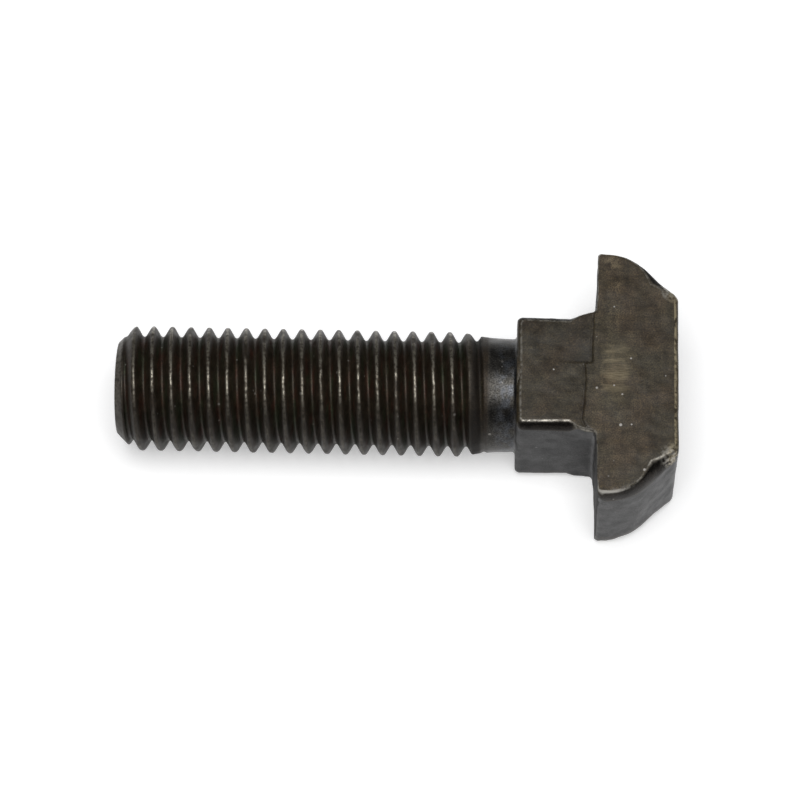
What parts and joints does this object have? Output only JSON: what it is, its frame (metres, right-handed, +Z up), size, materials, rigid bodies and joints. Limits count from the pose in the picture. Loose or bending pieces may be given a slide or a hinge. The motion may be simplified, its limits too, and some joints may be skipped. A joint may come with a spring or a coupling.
{
  "type": "t slot bolt",
  "caption": "Forged T-head bolt with a square neck and a coarse right-hand thread, whose head slides into a T slot and clamps with a nut.",
  "frame": {"origin": "on the bolt's axis, in the plane of the lands under the head", "axes": "+X along the bolt from the thread's tip to the head, +Y across the slot along the span of the head, +Z up through the thickness of the head; the bolt lies on the side of its head and its crests"},
  "size_m": [0.0527, 0.0252, 0.0118],
  "materials": {
    "black_steel": "forged and rolled steel with a dark oiled phosphate, rubbed bright on crests and edges"
  },
  "bodies": {
    "root": {"t_bolt": "black_steel"}
  },
  "joints": []
}
